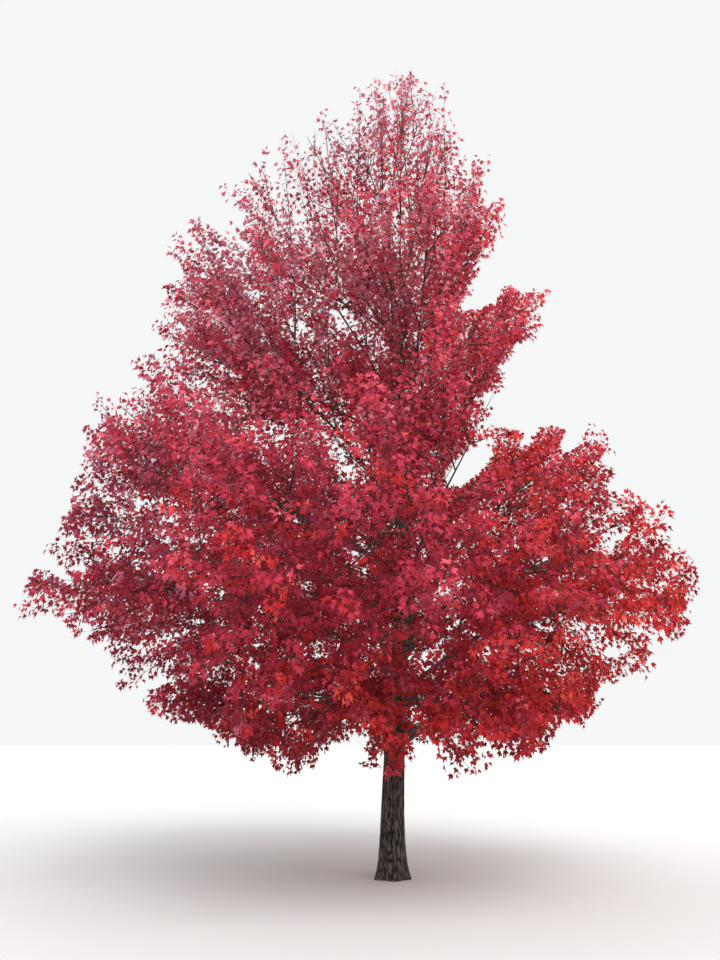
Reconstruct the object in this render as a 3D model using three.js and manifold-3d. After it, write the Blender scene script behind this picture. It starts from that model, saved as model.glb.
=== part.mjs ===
// A red maple in full autumn leaf, twelve metres tall, rooted in level ground.
// Millimetres, +Z up. The origin is the middle of the flat cut at ground level.
// +X is to the right of someone who looks along +Y at the front of the tree.
//
// One trunk runs up to a fork. Tiers of boughs climb out of it, and each bough ends where it
// enters a mass of foliage. A mass is one stem, pairs of twigs on it, and big leaves that each
// stand for a spray of real ones. The two top tiers and the leader have no bough of their own:
// their stems spring straight from the trunk.

import * as THREE from "three";
import { mergeVertices } from "three/addons/utils/BufferGeometryUtils.js";
import Module from "manifold-3d";

const wasm = await Module();
wasm.setup();
const { Manifold, Mesh } = wasm;

const SEED = 41;
const GAP = 0.3; // between solids that touch
const CLEAR = 6; // least room between a leaf or twig and anything that it doesn't grow on
const SUNK = 30; // how deep the last twig starts inside the end of its stem
const WELD = 1e-3; // vertices nearer than this are one
const UP = new THREE.Vector3(0, 0, 1);
const SAG = new THREE.Vector3(0, 0, -1);
const degrees = THREE.MathUtils.degToRad;
const { lerp, clamp } = THREE.MathUtils;

const trunk = {
  fork: 8500, // height of the fork above the ground
  footRadius: 158, // without the flare
  forkRadius: 27,
  taper: 1.25,
  flare: 80, // how far the root flare stands out at the ground
  flareHeight: 210,
  buttresses: 5,
  sway: 240, // sideways bow, greatest at swayHeight
  swayHeight: 5000,
  swayBack: 70, // the same towards +Y, greatest half way up
  gather: 1.6, // above 1 the rings lie closer together at the foot
  sides: 12,
  steps: 13,
};

// Each tier is a ring of branches. turn is the bearing of its first branch, anticlockwise from
// +X seen from above. base is the span of heights where they leave the trunk, taken in strides.
// reach and tipHeight are where they end, dip is how much lower that is at the front, and drift
// moves the ring sideways, because the crown leans to -X. rise is the climb at the trunk and
// tipRise at the tip, in degrees. bare is the share of a branch that is bough, radius its size at
// the trunk. girth is half the width of a mass and flat how far it is flattened. pairs counts its
// twigs, leaf is the length of a leaf, and leaves counts those beside the twigs' own.
const tiers = [
  {
    name: "skirt", count: 6, turn: 28, base: [1450, 1900], reach: 2450, tipHeight: 1850,
    dip: 0, drift: -100, rise: 34, tipRise: -30, bare: 0.4, radius: 30, girth: 1500, flat: 1.4,
    pairs: 3, leaf: 700, leaves: 7, stride: 5,
  },
  {
    name: "wide", count: 7, turn: 0, base: [2100, 2900], reach: 3640, tipHeight: 3400,
    dip: 200, drift: -330, rise: 42, tipRise: -8, bare: 0.44, radius: 40, girth: 1700, flat: 1.3,
    pairs: 3, leaf: 780, leaves: 7, stride: 3,
  },
  {
    name: "shoulder", count: 6, turn: -6, base: [2950, 3900], reach: 3050, tipHeight: 5250,
    dip: 700, drift: -420, rise: 54, tipRise: 20, bare: 0.42, radius: 36, girth: 1500, flat: 1.1,
    pairs: 3, leaf: 740, leaves: 7, stride: 5,
  },
  {
    name: "upper", count: 5, turn: 8, base: [3950, 5200], reach: 2450, tipHeight: 7450,
    dip: 300, drift: -680, rise: 64, tipRise: 44, bare: 0.4, radius: 30, girth: 1200, flat: 0.9,
    pairs: 3, leaf: 680, leaves: 7, stride: 2,
  },
  {
    name: "high", count: 5, turn: 0, base: [5400, 7000], reach: 1900, tipHeight: 9350,
    dip: 300, drift: -500, rise: 66, tipRise: 56, bare: 0, radius: 24, girth: 1000, flat: 0.85,
    pairs: 3, leaf: 600, leaves: 7, stride: 2,
  },
  {
    name: "crest", count: 2, turn: 12, base: [7600, 8150], reach: 1050, tipHeight: 10500,
    dip: 0, drift: -250, rise: 70, tipRise: 66, bare: 0, radius: 22, girth: 800, flat: 0.8,
    pairs: 3, leaf: 500, leaves: 6, stride: 1,
  },
];
const leader = {
  name: "leader", tip: [380, 0, 11600], rise: 90, tipRise: 80, radius: trunk.forkRadius,
  girth: 800, flat: 0.8, pairs: 4, leaf: 460, leaves: 7,
};

// The hem of the crown: level near the trunk, then rising outwards.
const hem = { height: 1170, reach: 1900, slope: 0.4 };

// A stem's radius at its end, the share of it where twigs start on a bough and on the trunk, and
// the share where they stop.
const stem = { tipRadius: 20, onBough: 0.12, onTrunk: 0.32, last: 0.88, sides: 4, steps: 4 };

const bough = { sides: 6, steps: 4, collar: 0.55, collarLength: 110 };

// spread is the angle between a twig and its stem, reach its length in girths of the mass, and
// leafAt the shares of it where its side leaves sit.
const twig = { baseRadius: 13, tipRadius: 9, spread: 54, droop: 0.15, reach: 0.6, leafAt: [0.61, 0.49] };

// Shares of a leaf's length, seen from above: how far along and out its side lobes and its
// notches are, and its thickness. splay is the angle between a side leaf and its twig. hang,
// up, out and tumble say how it hangs and faces.
const leaf = {
  lobeAt: 0.47, lobe: 0.44, notchAt: 0.56, notch: 0.18, thick: 1 / 40, splay: 60,
  hang: 0.35, up: 0.8, out: 0.6, tumble: 0.4,
};

const barkMaterial = new THREE.MeshStandardMaterial({ color: 0x4d423c, roughness: 0.92, metalness: 0 });
const foliageMaterial = new THREE.MeshStandardMaterial({ color: 0xa92b3a, roughness: 0.62, metalness: 0 });

// A repeatable stream of numbers from 0 to 1.
function dice(seed) {
  let state = seed >>> 0;
  return () => {
    state = (state + 0x6d2b79f5) >>> 0;
    let mixed = Math.imul(state ^ (state >>> 15), 1 | state);
    mixed = (mixed + Math.imul(mixed ^ (mixed >>> 7), 61 | mixed)) ^ mixed;
    return ((mixed ^ (mixed >>> 14)) >>> 0) / 4294967296;
  };
}
const roll = dice(SEED);
const jitter = (reach) => (roll() * 2 - 1) * reach;

function solidOf(geometry) {
  const bare = geometry.clone();
  bare.deleteAttribute("normal");
  bare.deleteAttribute("uv");
  const merged = mergeVertices(bare, WELD);
  return new Manifold(
    new Mesh({
      numProp: 3,
      vertProperties: new Float32Array(merged.attributes.position.array),
      triVerts: new Uint32Array(merged.index.array),
    }),
  );
}

function geometryOf(solid) {
  const mesh = solid.getMesh();
  const geometry = new THREE.BufferGeometry();
  geometry.setAttribute("position", new THREE.BufferAttribute(mesh.vertProperties, mesh.numProp));
  geometry.setIndex(new THREE.BufferAttribute(mesh.triVerts, 1));
  geometry.computeVertexNormals();
  return geometry;
}

// Moves every vertex of a unit cylinder to where place says, from how far along and round it is
// and whether it is on the axis or the rim.
function bentCylinder(sides, steps, place) {
  const geometry = new THREE.CylinderGeometry(1, 1, 1, sides, steps);
  const spots = geometry.attributes.position;
  for (let i = 0; i < spots.count; i++) {
    const along = spots.getY(i) + 0.5;
    const angle = Math.atan2(spots.getX(i), spots.getZ(i));
    const spot = place(along, angle, Math.hypot(spots.getX(i), spots.getZ(i)));
    spots.setXYZ(i, spot.x, spot.y, spot.z);
  }
  return geometry;
}

// The trunk bows to +X and back on the way up: sine squared of the height.
function trunkCentre(height) {
  const bow = trunk.sway * Math.sin((Math.PI / 2) * (height / trunk.swayHeight)) ** 2;
  const back = trunk.swayBack * Math.sin((Math.PI * height) / trunk.fork) ** 2;
  return new THREE.Vector3(bow, back, height);
}

function trunkRadius(height, angle = 0) {
  const plain = lerp(trunk.forkRadius, trunk.footRadius, (1 - height / trunk.fork) ** trunk.taper);
  const buttress = 0.7 + 0.3 * Math.cos(trunk.buttresses * angle + 1);
  return plain + trunk.flare * buttress * Math.exp(-height / trunk.flareHeight);
}

// Level rings up the bowed centre line, closer together at the flare.
function trunkSolid(extra) {
  return solidOf(
    bentCylinder(trunk.sides, trunk.steps, (along, angle, out) => {
      const height = trunk.fork * along ** trunk.gather;
      const reach = out * (trunkRadius(height, angle) + extra);
      const side = new THREE.Vector3(Math.cos(angle), Math.sin(angle), 0);
      return trunkCentre(height).addScaledVector(side, reach);
    }),
  );
}

// The rings of a limb along part of a line: their middles, evenly spaced, and their directions.
function limbRings(line, from, to, steps) {
  const stretch = new THREE.Curve();
  stretch.getPoint = (share, target) => line.getPoint(lerp(from, to, share), target);
  const spots = Array.from({ length: steps + 1 }, (_, step) => stretch.getUtoTmapping(step / steps));
  return {
    shares: spots.map((spot) => lerp(from, to, spot)),
    middles: spots.map((spot) => stretch.getPoint(spot)),
    ...stretch.computeFrenetFrames(steps, false),
  };
}

// A tapering limb through its rings. radiusAt takes the share of the whole line.
function limbSolid(rings, radiusAt, sides) {
  const steps = rings.middles.length - 1;
  return solidOf(
    bentCylinder(sides, steps, (along, angle, out) => {
      const step = Math.round(along * steps);
      const reach = out * radiusAt(rings.shares[step]);
      return rings.middles[step]
        .clone()
        .addScaledVector(rings.normals[step], Math.sin(angle) * reach)
        .addScaledVector(rings.binormals[step], -Math.cos(angle) * reach);
    }),
  );
}

// A point on the straight run between two of a limb's rings, and the way that run goes.
function onLimb(rings, share) {
  const step = Math.min(Math.floor(share * (rings.middles.length - 1)), rings.middles.length - 2);
  const [before, after] = [rings.middles[step], rings.middles[step + 1]];
  const root = before.clone().lerp(after, share * (rings.middles.length - 1) - step);
  return { root, onward: after.clone().sub(before).normalize() };
}

function heading(bearing, rise) {
  return new THREE.Vector3(
    Math.cos(bearing) * Math.cos(rise),
    Math.sin(bearing) * Math.cos(rise),
    Math.sin(rise),
  );
}

// A branch's centre line leaves the trunk at one slope and arrives at its tip at another.
function branchLine(start, tip, rise, tipRise) {
  const bearing = Math.atan2(tip.y - start.y, tip.x - start.x);
  const handle = 0.36 * start.distanceTo(tip);
  return new THREE.CubicBezierCurve3(
    start,
    start.clone().addScaledVector(heading(bearing, rise), handle),
    tip.clone().addScaledVector(heading(bearing, tipRise), -handle),
    tip,
  );
}

// Millimetres along a line for each unit of its share.
function speedAt(line, share) {
  const step = 1e-3;
  return line.getPoint(share).distanceTo(line.getPoint(share + step)) / step;
}

// From full at the trunk, with a collar where it leaves it, down to the stem's end.
function branchRadius(line, radius) {
  const length = line.getLength();
  return (share) => {
    const plain = lerp(radius, stem.tipRadius, clamp(share, 0, 1) ** 0.75);
    return plain * (1 + bough.collar * Math.exp((-share * length) / bough.collarLength));
  };
}

function tierBranches(tier) {
  return Array.from({ length: tier.count }, (_, index) => {
    const rung = (index * tier.stride) % tier.count;
    const start = trunkCentre(lerp(...tier.base, rung / Math.max(tier.count - 1, 1)));
    const bearing = degrees(tier.turn + (360 / tier.count) * index + jitter(5));
    const reach = tier.reach * (1 + jitter(0.06));
    const tip = new THREE.Vector3(
      tier.drift + reach * Math.cos(bearing),
      reach * Math.sin(bearing),
      tier.tipHeight - tier.dip * Math.max(-Math.sin(bearing), 0) + jitter(150),
    );
    const line = branchLine(start, tip, degrees(tier.rise), degrees(tier.tipRise));
    const leafFrom = tier.bare ? stem.onBough : stem.onTrunk;
    const radiusAt = branchRadius(line, tier.radius);
    return { ...tier, name: `${tier.name}_${index + 1}`, line, leafFrom, radiusAt };
  });
}

// The leader goes on from the trunk's own tip.
function leaderBranch() {
  const start = trunkCentre(trunk.fork).addScaledVector(UP, GAP);
  const tip = new THREE.Vector3(...leader.tip);
  const line = branchLine(start, tip, degrees(leader.rise), degrees(leader.tipRise));
  const radiusAt = (share) => lerp(leader.radius, stem.tipRadius, share);
  return { ...leader, line, radiusAt, leafFrom: stem.onBough, bare: 0, onTip: true };
}

const branches = [...tiers.flatMap(tierBranches), leaderBranch()];

// Every mass has a string of beads along its stem, largest at the middle. A point belongs to the
// mass whose bead is nearest, measured in that bead's own girth, and to none if it is further
// than one girth away.
const string = { beads: 7, ends: 0.62, onTip: 0.08, onTrunk: 0.22 };
const beads = branches.flatMap((branch) => {
  const from = branch.bare || (branch.onTip ? string.onTip : string.onTrunk);
  return Array.from({ length: string.beads }, (_, index) => {
    const share = (index + 0.5) / string.beads;
    const centre = branch.line.getPoint(lerp(from, 1, share));
    const girth = branch.girth * lerp(string.ends, 1, Math.sin(Math.PI * share));
    return { owner: branch.name, centre, girth, flat: branch.flat };
  });
});

function belongsTo(owner, point) {
  const overhang = Math.max(Math.hypot(point.x, point.y) - hem.reach, 0);
  if (point.z < hem.height + hem.slope * overhang) return false;
  let nearest = 1;
  let found = null;
  for (const bead of beads) {
    const off = point.clone().sub(bead.centre);
    off.z *= bead.flat;
    const far = off.length() / bead.girth;
    if (far < nearest) {
      nearest = far;
      found = bead.owner;
    }
  }
  return found === owner;
}

const placed = []; // every solid so far, with its box, what it grows on and its mass

function corners(solid) {
  const mesh = solid.getMesh();
  return Array.from({ length: mesh.numVert }, (_, index) =>
    new THREE.Vector3().fromArray(mesh.vertProperties, index * mesh.numProp),
  );
}

function boxOf(solid) {
  const { min, max } = solid.boundingBox();
  return new THREE.Box3(new THREE.Vector3(...min), new THREE.Vector3(...max));
}

function keep(solid, parent, owner) {
  const piece = { solid, parent, owner, box: boxOf(solid).expandByScalar(CLEAR) };
  placed.push(piece);
  return piece;
}

// A piece may touch only what it grows on and what grows beside it there.
function isClear(solid, parent) {
  const box = boxOf(solid);
  return placed.every(
    (other) =>
      other === parent ||
      other.parent === parent ||
      !other.box.intersectsBox(box) ||
      other.solid.minGap(solid, CLEAR) >= CLEAR,
  );
}

// A three-sided rod whose rings are given one by one, root first. A ring has a middle, two sides
// half a width out and raised by lift, and a keel below the middle.
function ringedSolid(rings, across, normal) {
  return solidOf(
    bentCylinder(3, rings.length - 1, (along, angle, out) => {
      const ring = rings[Math.round(along * (rings.length - 1))];
      const atKeel = Math.abs(angle) < 0.1;
      const side = atKeel ? 0 : -Math.sign(angle) * ring.half * out;
      const height = (atKeel ? -ring.keel : ring.lift) * out;
      return ring.middle.clone().addScaledVector(across, side).addScaledVector(normal, height);
    }),
  );
}

// A leaf's rings are its two side lobes, the notches above them, and the tip of its middle lobe.
function leafRings(root, along, length) {
  const at = (share) => root.clone().addScaledVector(along, share * length);
  const thick = leaf.thick * length;
  return [
    { middle: at(leaf.lobeAt), half: leaf.lobe * length, lift: 0, keel: thick },
    { middle: at(leaf.notchAt), half: leaf.notch * length, lift: 0, keel: thick },
    { middle: at(1), half: 0, lift: 0, keel: 0 },
  ];
}

// Leaves face up and away from the trunk, each a little differently.
function leafSides(along, root) {
  const away = new THREE.Vector3(root.x, root.y, 0).normalize();
  const facing = UP.clone().multiplyScalar(leaf.up).addScaledVector(away, leaf.out);
  facing.add(new THREE.Vector3(jitter(leaf.tumble), jitter(leaf.tumble), jitter(leaf.tumble / 2)));
  const across = new THREE.Vector3().crossVectors(along, facing).normalize();
  return { across, normal: new THREE.Vector3().crossVectors(across, along).normalize() };
}

function hanging(direction) {
  return direction.clone().addScaledVector(SAG, leaf.hang + jitter(0.25)).normalize();
}

// Whether a piece keeps to its mass's space, but for its sunken root, and clear of the rest.
function fits(solid, root, branch, parent) {
  const outside = corners(solid).filter((corner) => corner.distanceTo(root) > 2 * SUNK);
  return outside.every((corner) => belongsTo(branch.name, corner)) && isClear(solid, parent);
}

// A leaf that sits on a twig by its pointed root.
function tryLeaf(branch, parent, root, direction) {
  for (const share of [1, 0.85, 0.7]) {
    const along = hanging(direction);
    const { across, normal } = leafSides(along, root);
    const point = { middle: root, half: 0, lift: 0, keel: 0 };
    const rings = [point, ...leafRings(root, along, branch.leaf * share)];
    const solid = ringedSolid(rings, across, normal);
    if (fits(solid, root, branch, parent)) return keep(solid, parent, branch.name);
  }
  return null;
}

// An even triangle with its point down.
function twigRing(middle, radius) {
  return { middle, half: radius * Math.sqrt(0.75), lift: radius / 2, keel: radius };
}

// A twig that ends in a leaf of its own, shorter where it doesn't fit at first.
function tryShoot(branch, parent, root, direction, length) {
  for (const share of [1, 0.8, 0.6, 0.45]) {
    const end = root.clone().addScaledVector(direction, length * share);
    const { across, normal } = leafSides(direction, root);
    const rings = [
      twigRing(root, twig.baseRadius),
      twigRing(end, twig.tipRadius),
      ...leafRings(end, hanging(direction), branch.leaf * Math.max(share, 0.7)),
    ];
    const solid = ringedSolid(rings, across, normal);
    if (fits(solid, root, branch, parent)) {
      return Object.assign(keep(solid, parent, branch.name), { root, direction, length: length * share });
    }
  }
  return null;
}

// The direction that opens from another by an angle, towards a side at right angles to it.
function opened(direction, towards, angle) {
  return direction.clone().multiplyScalar(Math.cos(angle)).addScaledVector(towards, Math.sin(angle));
}

// Opposite pairs of shoots, each pair turned a right angle from the last, longest at mid-stem,
// and one more shoot out of the stem's end.
function growShoots(branch, parent, rings) {
  const shoots = [];
  for (let pair = 0; pair < branch.pairs; pair++) {
    const share = pair / (branch.pairs - 1);
    const { root, onward } = onLimb(rings, lerp(branch.leafFrom, stem.last, share));
    const level = new THREE.Vector3().crossVectors(onward, UP).normalize();
    const plane = level.applyAxisAngle(onward, (pair * Math.PI) / 2 + jitter(0.3));
    const swell = Math.sin(Math.PI * lerp(0.3, 0.85, share));
    for (const side of [-1, 1]) {
      const open = opened(onward, plane, side * degrees(twig.spread + jitter(8)));
      const direction = open.addScaledVector(SAG, twig.droop).normalize();
      const length = branch.girth * swell * (twig.reach + jitter(0.06));
      shoots.push(tryShoot(branch, parent, root, direction, length));
    }
  }
  const { root: end, onward } = onLimb(rings, 1);
  shoots.push(tryShoot(branch, parent, end.addScaledVector(onward, -SUNK), onward, branch.leaf / 2));
  return shoots.filter(Boolean);
}

// Side leaves, first one on every shoot, then one on the other side, until there are enough.
function growLeaves(branch, shoots) {
  let left = branch.leaves;
  for (const [lap, leafAt] of twig.leafAt.entries()) {
    for (const [index, shoot] of shoots.entries()) {
      if (left === 0) return;
      const side = (index + lap) % 2 ? 1 : -1;
      const across = new THREE.Vector3().crossVectors(shoot.direction, UP).normalize();
      const root = shoot.root.clone().addScaledVector(shoot.direction, shoot.length * leafAt);
      const direction = opened(shoot.direction, across, side * degrees(leaf.splay));
      if (tryLeaf(branch, shoot, root, direction)) left -= 1;
    }
  }
}

// A stem, its shoots and their leaves, fused into one solid. Loose scraps are dropped.
function growMass(branch, grownTrunk) {
  const start = branch.bare ? branch.bare + GAP / speedAt(branch.line, branch.bare) : 0;
  const rings = limbRings(branch.line, start, 1, stem.steps);
  const whole = limbSolid(rings, branch.radiusAt, stem.sides);
  const cut = branch.bare || branch.onTip ? whole : whole.subtract(grownTrunk);
  growLeaves(branch, growShoots(branch, keep(cut, null, branch.name), rings));
  const own = placed.filter((piece) => piece.owner === branch.name).map((piece) => piece.solid);
  return Manifold.union(own)
    .decompose()
    .reduce((best, one) => (one.volume() > best.volume() ? one : best));
}

function named(name, solid, material) {
  const mesh = new THREE.Mesh(geometryOf(solid), material);
  mesh.name = name;
  return mesh;
}

const tree = new THREE.Group();
const trunkBody = trunkSolid(0);
const grownTrunk = trunkSolid(GAP);
keep(trunkBody, null, "wood");
tree.add(named("trunk", trunkBody, barkMaterial));

for (const branch of branches.filter((one) => one.bare)) {
  const rings = limbRings(branch.line, 0, branch.bare, bough.steps);
  const cut = limbSolid(rings, branch.radiusAt, bough.sides).subtract(grownTrunk);
  keep(cut, null, "wood");
  tree.add(named(`bough_${branch.name}`, cut, barkMaterial));
}

for (const branch of branches) {
  tree.add(named(`foliage_${branch.name}`, growMass(branch, grownTrunk), foliageMaterial));
}

export default tree;
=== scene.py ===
import math
from itertools import zip_longest

import bpy
import numpy as np
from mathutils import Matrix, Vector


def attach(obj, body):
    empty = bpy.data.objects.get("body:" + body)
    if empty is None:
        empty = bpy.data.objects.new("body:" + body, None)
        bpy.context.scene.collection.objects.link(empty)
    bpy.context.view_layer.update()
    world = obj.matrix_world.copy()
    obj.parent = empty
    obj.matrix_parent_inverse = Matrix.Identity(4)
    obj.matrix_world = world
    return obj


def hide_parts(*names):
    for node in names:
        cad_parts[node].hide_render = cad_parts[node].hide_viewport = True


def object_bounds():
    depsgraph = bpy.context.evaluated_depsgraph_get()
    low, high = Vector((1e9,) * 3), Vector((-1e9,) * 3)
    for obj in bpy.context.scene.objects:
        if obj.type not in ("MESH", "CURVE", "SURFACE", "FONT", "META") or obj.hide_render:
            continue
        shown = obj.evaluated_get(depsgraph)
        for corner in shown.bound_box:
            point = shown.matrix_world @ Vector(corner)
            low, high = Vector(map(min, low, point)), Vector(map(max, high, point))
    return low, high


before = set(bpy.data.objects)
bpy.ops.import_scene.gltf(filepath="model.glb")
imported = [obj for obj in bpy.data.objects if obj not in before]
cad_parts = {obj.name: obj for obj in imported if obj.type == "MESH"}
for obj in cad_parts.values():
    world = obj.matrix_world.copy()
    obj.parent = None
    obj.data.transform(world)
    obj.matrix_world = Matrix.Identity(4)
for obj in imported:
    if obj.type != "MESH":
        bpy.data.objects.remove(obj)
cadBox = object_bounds()
print("frame loaded,", len(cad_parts), "solids")

up = np.array([0.0, 0.0, 1.0])
nudge = 1e-4  # keeps a cross product off zero where its two vectors are parallel


# The photograph's angle, from eye height and looking a little up.
view = {
    "place": (-0.39, -11.0, 1.6),
    "lookUp": 17.4,  # degrees above the horizon
    "lens": 31.1,
    "sensor": 36.0,  # along the longer side, in millimetres like the lens
    "farthest": 600.0,
}


# An unturned camera looks straight down, so it is raised by a right angle plus lookUp.
def setCamera():
    data = bpy.data.cameras.new("view")
    data.sensor_width = view["sensor"]
    data.lens = view["lens"]
    data.clip_end = view["farthest"]
    camera = bpy.data.objects.new("view", data)
    camera.location = view["place"]
    camera.rotation_euler = (math.radians(90 + view["lookUp"]), 0, 0)
    bpy.context.scene.collection.objects.link(camera)
    bpy.context.scene.camera = camera


setCamera()


# A vector scaled to length one.
def unit(vectors):
    return vectors / np.maximum(np.linalg.norm(vectors, axis=-1, keepdims=True), 1e-9)


# Between two values: a + (b - a) t.
def between(low, high, share):
    return low + (high - low) * share


# A vector turned about an axis: v cos a + (k x v) sin a + k (k . v)(1 - cos a).
def turned(vectors, axes, angles):
    angles = np.asarray(angles)[..., None]
    along = np.sum(axes * vectors, axis=-1, keepdims=True)
    return (vectors * np.cos(angles) + np.cross(axes, vectors) * np.sin(angles)
            + axes * along * (1 - np.cos(angles)))


# Large odd numbers that mix a cell's three whole numbers and the seed.
lattice = {
    "axes": np.array([374761393, 668265263, 1440662683]),
    "seed": 974634777,
    "mix": 1274126177,
    "bits": 0xFFFFFFFF,
}


# Smooth noise from -1 to 1: random values on a lattice of whole numbers, blended between the
# eight corners round each point with weights 3t^2 - 2t^3.
def smoothNoise(points, seed):
    cell = np.floor(points).astype(np.int64)
    part = points - cell
    part = part * part * (3 - 2 * part)
    total = np.zeros(points.shape[:-1])
    for corner in np.ndindex(2, 2, 2):
        mixed = ((cell + corner) @ lattice["axes"] + seed * lattice["seed"]) & lattice["bits"]
        mixed = ((mixed ^ (mixed >> 13)) * lattice["mix"]) & lattice["bits"]
        value = ((mixed ^ (mixed >> 16)) & 0xFFFF) / 32767.5 - 1
        weight = np.where(np.array(corner, bool), part, 1 - part).prod(axis=-1)
        total += value * weight
    return total


# A mesh object from arrays of corner places and triangles, with a UV map from flatPlaces and the
# bark's attribute from grooves.
def meshPiece(name, places, triangles, materials, smooth=True, slots=None, flatPlaces=None,
              grooves=None):
    mesh = bpy.data.meshes.new(name)
    mesh.vertices.add(len(places))
    mesh.vertices.foreach_set("co", np.ascontiguousarray(places, np.float32).ravel())
    mesh.loops.add(triangles.size)
    mesh.loops.foreach_set("vertex_index", np.ascontiguousarray(triangles, np.int32).ravel())
    mesh.polygons.add(len(triangles))
    mesh.polygons.foreach_set("loop_start", np.arange(0, triangles.size, 3, dtype=np.int32))
    mesh.polygons.foreach_set("use_smooth", np.full(len(triangles), smooth))
    for material in materials:
        mesh.materials.append(material)
    if slots is not None:
        mesh.polygons.foreach_set("material_index", np.ascontiguousarray(slots, np.int32))
    if flatPlaces is not None:
        flatMap = mesh.uv_layers.new(name="blade")
        spread = flatPlaces[triangles.ravel()]
        flatMap.data.foreach_set("uv", np.ascontiguousarray(spread, np.float32).ravel())
    if grooves is not None:
        marks = mesh.attributes.new("groove", "FLOAT", "POINT")
        marks.data.foreach_set("value", np.ascontiguousarray(grooves, np.float32))
    mesh.update(calc_edges=True)
    piece = bpy.data.objects.new(name, mesh)
    bpy.context.scene.collection.objects.link(piece)
    return piece


# Sets a node's own sockets, by name or number.
def setSockets(node, sockets):
    for socket, value in sockets.items():
        node.inputs[socket].default_value = value


# A material with its node tree and its Principled shader.
def newMaterial(name, sockets):
    material = bpy.data.materials.new(name)
    material.use_nodes = True
    shader = material.node_tree.nodes["Principled BSDF"]
    setSockets(shader, sockets)
    return material, material.node_tree, shader


# A node of one kind, with its sockets set.
def addNode(tree, kind, sockets=None, operation=None):
    node = tree.nodes.new("ShaderNode" + kind)
    if operation:
        node.operation = operation
    setSockets(node, sockets or {})
    return node


# Links, each from a node's output to another node's input.
def linkAll(tree, *rows):
    for start, output, end, entry in rows:
        tree.links.new(start.outputs[output], end.inputs[entry])


trunk = {
    "fork": 8.5,  # the fork's height above the foot
    "footRadius": 0.158,  # without the flare
    "forkRadius": 0.027,
    "taper": 1.25,
    "flare": 0.080,  # how far the roots stand out at the foot
    "flareHeight": 0.210,
    "buttresses": 5,
    "swelling": (0.7, 0.3),  # the flare's share all round, and what the buttresses add and take
    "sway": 0.240,  # sideways bow, greatest at swayHeight
    "swayHeight": 5.0,
    "swayBack": 0.070,
    "cap": 0.01,  # how far the top's middle stands above its edge
}


# The middle of the trunk: it bows to +X as the squared sine of the height, and a little back.
def trunkCentre(height):
    height = np.asarray(height, float)
    bow = trunk["sway"] * np.sin(math.pi / 2 * height / trunk["swayHeight"]) ** 2
    back = trunk["swayBack"] * np.sin(math.pi * height / trunk["fork"]) ** 2
    return np.stack([bow, back, height], axis=-1)


# The trunk's radius: a power of the height left to the fork, and a flare that fades upwards as
# e to the minus height, with five swellings round it.
def trunkRadius(height, angle):
    left = np.clip(1 - height / trunk["fork"], 0, 1) ** trunk["taper"]
    plain = between(trunk["forkRadius"], trunk["footRadius"], left)
    even, ridged = trunk["swelling"]
    swelling = even + ridged * np.cos(trunk["buttresses"] * angle + 1)
    return plain + trunk["flare"] * swelling * np.exp(-height / trunk["flareHeight"])


# Each tier is a ring of limbs, and the last one is the leader, which goes on from the fork alone.
# The rows as far as drift are the solids' own, the others belong to the finer growth.
tierTable = {
    "name": ["skirt", "wide", "shoulder", "upper", "high", "crest", "leader"],
    "rise": [34, 42, 54, 64, 66, 70, 90],  # the limbs' slope at the trunk, and at their tips
    "tipRise": [-30, -8, 20, 44, 56, 66, 80],
    "bare": [0.40, 0.44, 0.42, 0.40, 0.0, 0.0, 0.0],  # share of a limb before its mass begins
    "radius": [0.030, 0.040, 0.036, 0.030, 0.024, 0.022, 0.027],
    "girth": [1.50, 1.70, 1.50, 1.20, 1.00, 0.80, 0.80],
    "flat": [1.4, 1.3, 1.1, 0.9, 0.85, 0.8, 0.8],
    "count": [6, 7, 6, 5, 5, 2],
    "turn": [28, 0, -6, 8, 0, 12],  # the first limb's bearing
    "base": [(1.45, 1.90), (2.10, 2.90), (2.95, 3.90), (3.95, 5.20), (5.40, 7.00), (7.60, 8.15)],
    "stride": [5, 3, 5, 2, 2, 1],
    "reach": [2.45, 3.64, 3.05, 2.45, 1.90, 1.05],
    "tipHeight": [1.85, 3.40, 5.25, 7.45, 9.35, 10.50],
    "dip": [0.0, 0.20, 0.70, 0.30, 0.30, 0.0],
    "drift": [-0.10, -0.33, -0.42, -0.68, -0.50, -0.25],
    "onTrunk": [28, 60, 44, 40, 24, 8],  # how many slender shoots come straight from the trunk
    "fill": [1.20, 1.18, 1.25, 1.35, 1.4, 1.5, 1.45],  # a mass's reach round its beads, in girths
    "spread": [57, 52, 47, 42, 39, 38, 40],  # the angle at which shoots open
    "draw": [0.08, 0.36, 0.62, 0.8, 0.92, 0.95, 0.9],  # how far they bend away from the trunk
    "lower": [0.0, 0.0, 0.0, 0.0, 0.0, 0.2, 0.2],  # how much shorter those on the underside are
    "reachOut": [1.2, 1.25, 1.3, 1.5, 1.5, 1.5, 1.45],  # branches near the trunk, in girths
    "tipOut": [0.62, 0.6, 0.7, 0.76, 0.8, 0.75, 0.85],  # and near a limb's end
    "beyond": [0.36, 0.5, 0.65, 0.75, 1.0, 0.6, 0.5],  # how far a limb goes on past its solid
    "forkGap": [0.85, 0.95, 0.9, 0.85, 0.95, 1.1, 1.0],  # between pairs, in metres
    "branchGap": [0.39, 0.41, 0.42, 0.4, 0.46, 0.56, 0.54],
    "twigGap": [0.155, 0.16, 0.17, 0.172, 0.2, 0.28, 0.29],
    "leafGap": [0.04, 0.046, 0.065, 0.072, 0.112, 0.155, 0.14],
    "blade": [0.075, 0.075, 0.077, 0.078, 0.077, 0.076, 0.076],  # the length of a leaf's blade
    "pieces": [1, 2, 1, 1, 1, 1, 1],  # how many pieces the leaves are joined into
}
tiers = [dict(zip(tierTable, column)) for column in zip_longest(*tierTable.values())]

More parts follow.
